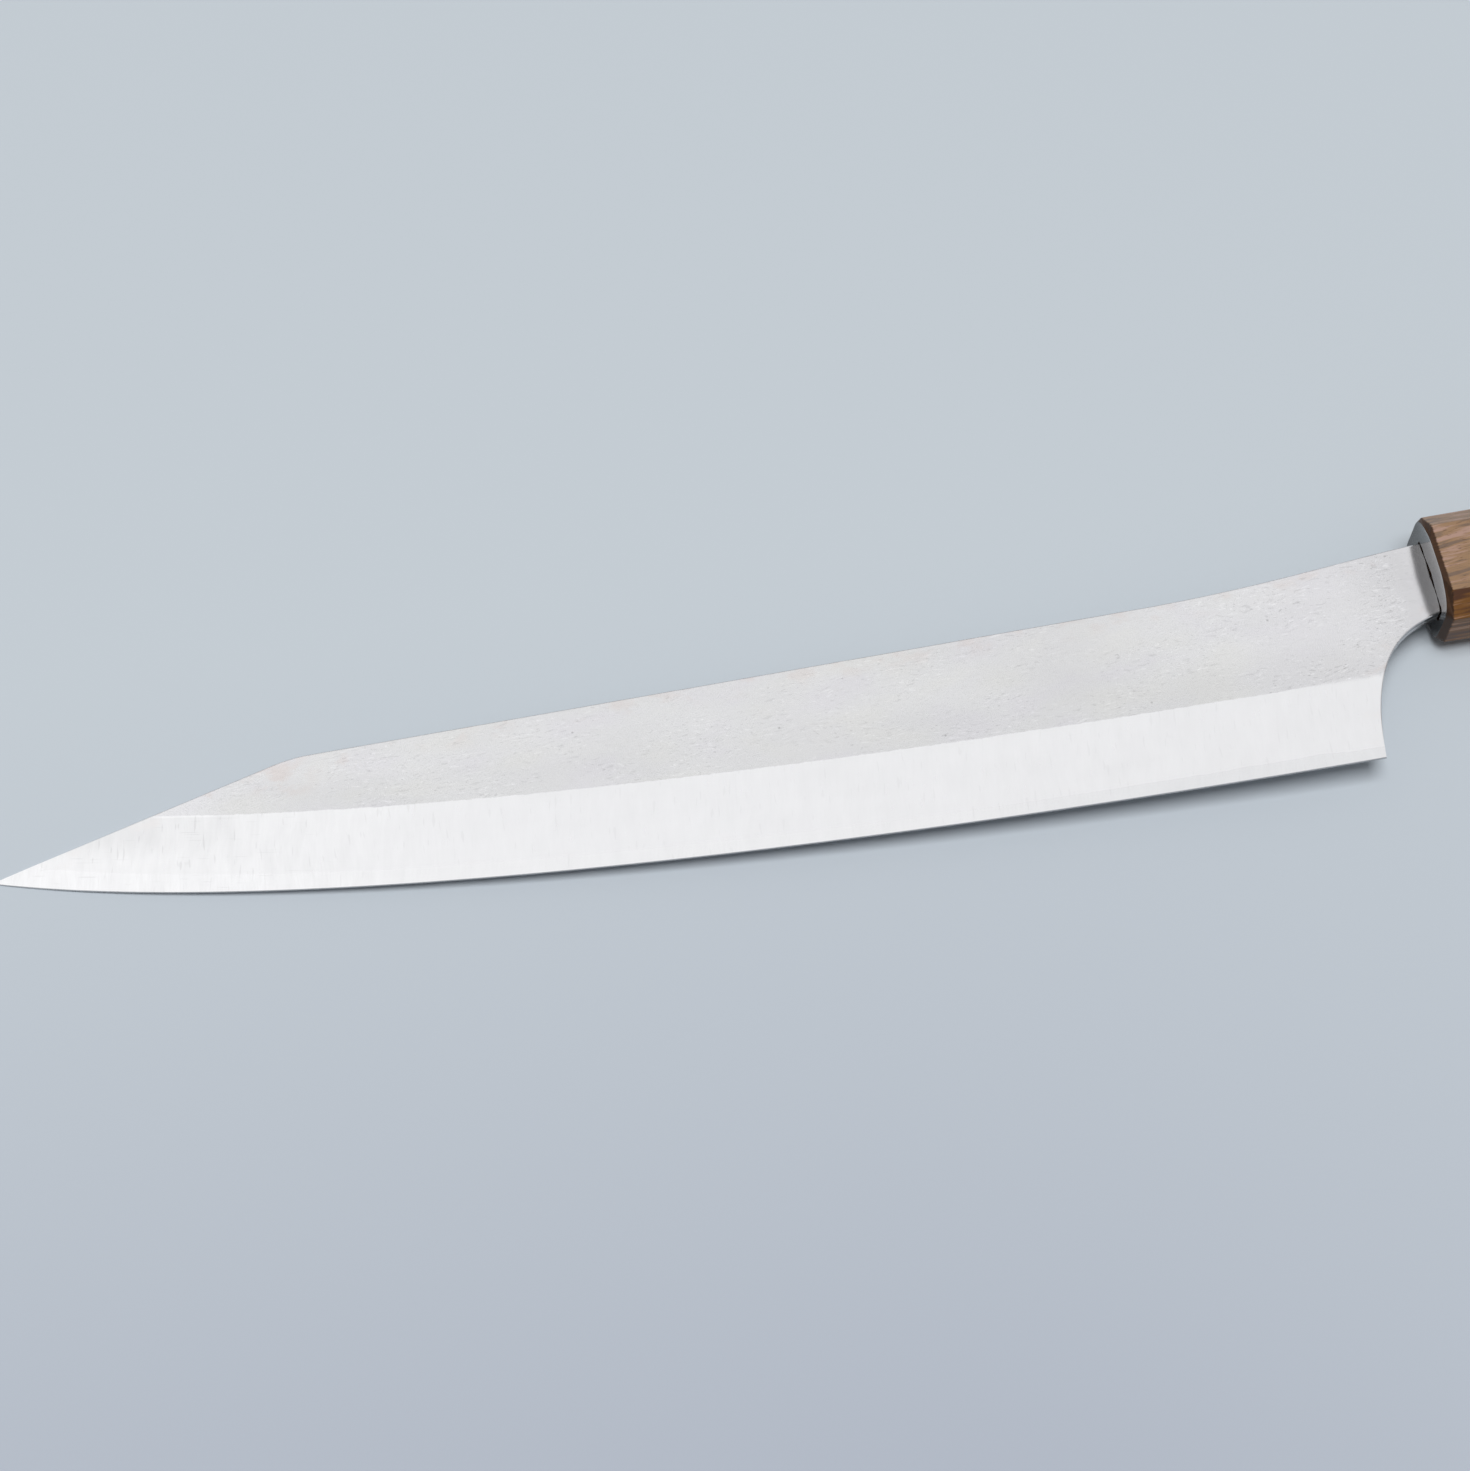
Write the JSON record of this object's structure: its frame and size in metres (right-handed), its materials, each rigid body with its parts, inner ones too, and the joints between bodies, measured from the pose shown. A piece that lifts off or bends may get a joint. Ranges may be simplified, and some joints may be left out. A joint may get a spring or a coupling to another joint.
{
  "type": "slicing knife",
  "caption": "Long narrow slicing knife with a clipped tip, a wide ground bevel and an octagonal wooden handle, for drawing thin slices of fish or meat.",
  "frame": {"origin": "Bottom centre of the knife's box, with the knife lying on its right side and the blade's middle plane level.", "axes": "+X runs along the handle's axis towards the butt, so the tip points to -X. +Y runs from the cutting edge to the spine. +Z is the left side of the blade, upwards."},
  "size_m": [0.4306, 0.0491, 0.02],
  "materials": {
    "core_steel": "fine satin, ground and honed",
    "cladding_steel": "matte pear-skin flats above a hazy satin bevel",
    "handle_wood": "oiled brown hardwood with dark streaks, polished dark end grain",
    "bedding_resin": "dark cured resin"
  },
  "bodies": {
    "root": {"core_steel": "core_steel", "left_cladding": "cladding_steel", "right_cladding": "cladding_steel", "handle": "handle_wood", "tang_bedding": "bedding_resin"}
  },
  "joints": []
}
